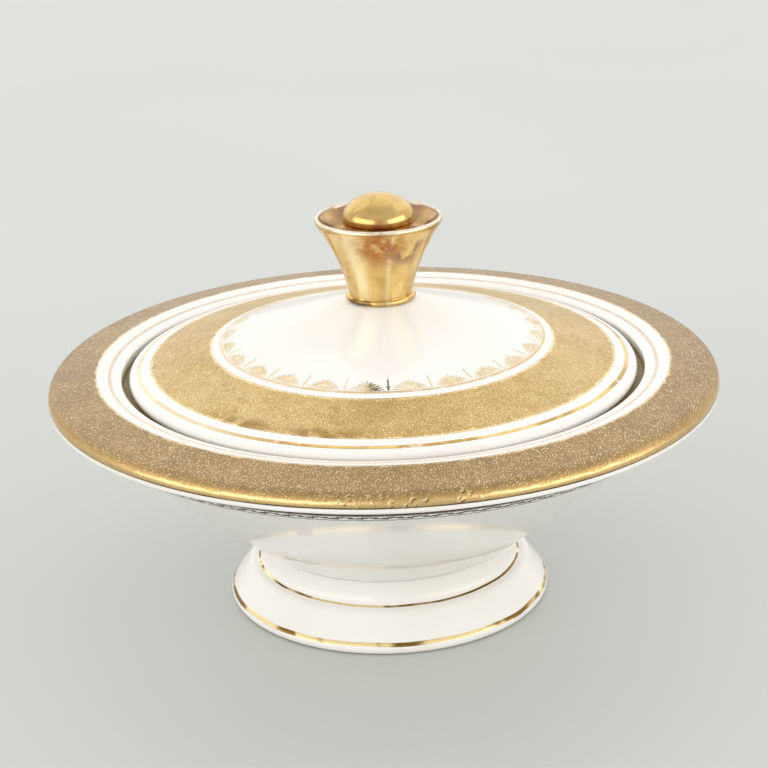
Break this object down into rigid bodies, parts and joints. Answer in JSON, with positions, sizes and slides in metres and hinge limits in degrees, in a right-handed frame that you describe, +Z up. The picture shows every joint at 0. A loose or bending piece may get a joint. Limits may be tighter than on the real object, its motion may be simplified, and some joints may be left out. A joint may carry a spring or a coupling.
{
  "type": "covered sugar bowl",
  "caption": "Wide conical porcelain bowl on a hollow foot, with a rolled gilt rim, a shallow gilt-banded lift-off lid and a gilt cup finial holding a ball.",
  "frame": {"origin": "centre of the foot, in the plane of the table", "axes": "+Z up along the axis of the bowl and lid"},
  "size_m": [0.19, 0.19, 0.1191],
  "materials": {
    "porcelain": "glossy warm-white glaze",
    "textured_gold": "acid-etched gilding with a fine raised grain",
    "polished_gold": "bright fired gold",
    "gilt_porcelain": "porcelain with bright fired gold, worn and tarnished in patches"
  },
  "bodies": {
    "base": {"bowl": "porcelain", "foot": "porcelain", "rim_gold_band": "textured_gold", "rim_hairline": "polished_gold", "underside_lace": "polished_gold", "shoulder_line": "polished_gold", "toe_line": "polished_gold"},
    "lid": {"lid": "porcelain", "lid_edge_line": "polished_gold", "lid_gold_band": "textured_gold", "lid_hairline": "polished_gold", "lid_lace": "polished_gold", "finial_cup": "gilt_porcelain", "finial_ball": "gilt_porcelain"}
  },
  "joints": [
    {"name": "lid_lift", "type": "slide", "parent": "base", "child": "lid", "axis": [0, 0, 1], "range_m": [0, 0.06]}
  ]
}
